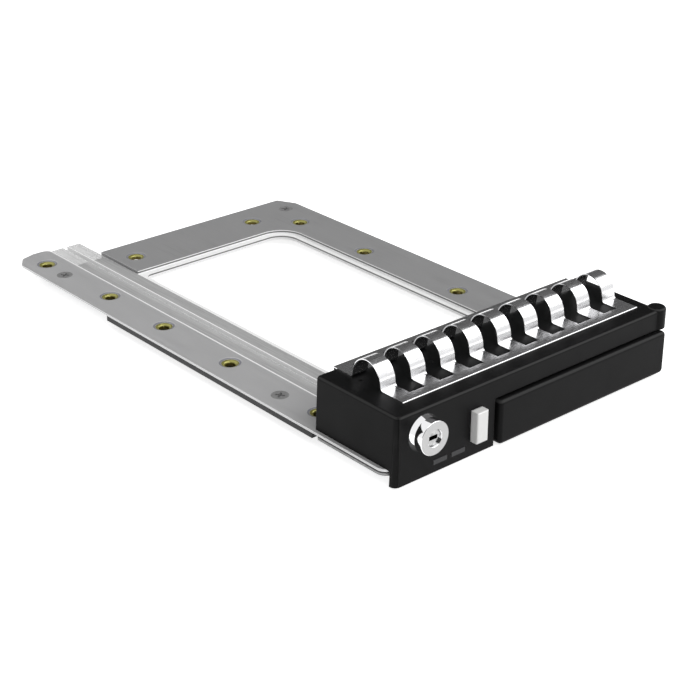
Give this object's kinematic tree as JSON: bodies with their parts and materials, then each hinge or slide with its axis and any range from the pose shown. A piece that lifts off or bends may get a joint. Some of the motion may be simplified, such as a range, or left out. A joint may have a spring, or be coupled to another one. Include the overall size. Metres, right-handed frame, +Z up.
{
  "type": "hot swap drive caddy",
  "caption": "Sheet steel drive tray with a black front bezel, a swing out handle with push button release, a key lock and a springy contact strip.",
  "frame": {"origin": "middle of the bounding box, at its bottom, where the runners rest", "axes": "+Z up, +Y from the bezel to the rear of the tray, +X to the right seen from the front"},
  "size_m": [0.1182, 0.2122, 0.0309],
  "materials": {
    "brushed_sheet": "brushed, slightly dull",
    "yellow_brass": "turned, slightly dull",
    "black_moulding": "fine satin moulding",
    "dark_runner": "smooth satin",
    "zinc_hardware": "bright zinc plated",
    "clear_acrylic": "clear, polished",
    "mirror_spring_sheet": "mirror bright, spring hard",
    "spring_wire": "drawn wire",
    "white_button": "gloss",
    "lock_chrome": "chrome with a satin face"
  },
  "bodies": {
    "tray": {"tray_plate": "brushed_sheet", "drive_hole_bushes": "yellow_brass", "left_runner": "dark_runner", "right_runner": "dark_runner", "runner_screws": "zinc_hardware", "base_plate": "brushed_sheet", "left_light_pipe": "clear_acrylic", "right_light_pipe": "clear_acrylic", "front_bezel": "black_moulding", "bezel_screws": "zinc_hardware", "contact_strip": "mirror_spring_sheet", "hinge_pin": "zinc_hardware", "lever_spring": "spring_wire", "latch_spring": "spring_wire", "lock_barrel": "lock_chrome", "lock_washer": "zinc_hardware", "lock_nut": "zinc_hardware"},
    "handle": {"lever_handle": "black_moulding"},
    "button": {"release_button": "white_button"},
    "latch": {"latch_slider": "black_moulding"},
    "plug": {"lock_plug": "lock_chrome", "lock_tongue": "zinc_hardware", "tongue_screw": "zinc_hardware"}
  },
  "joints": [
    {"name": "lever_hinge", "type": "hinge", "parent": "tray", "child": "handle", "pos_m": [0.05605, -0.0991, 0.0056], "axis": [0, 0, 1], "range_deg": [0, 90]},
    {"name": "button_push", "type": "slide", "parent": "tray", "child": "button", "axis": [0, 1, 0], "range_m": [0, 0.002], "stiffness_N_per_m": 300},
    {"name": "latch_slide", "type": "slide", "parent": "tray", "child": "latch", "axis": [-1, 0, 0], "range_m": [0, 0.002], "deforming": ["latch_spring"]},
    {"name": "lock_turn", "type": "hinge", "parent": "tray", "child": "plug", "pos_m": [-0.04735, -0.1013, 0.0154], "axis": [0, -1, 0], "range_deg": [0, 90]}
  ],
  "couplings": [
    {"joint": "latch_slide", "follows": "button_push", "ratio": 1}
  ]
}
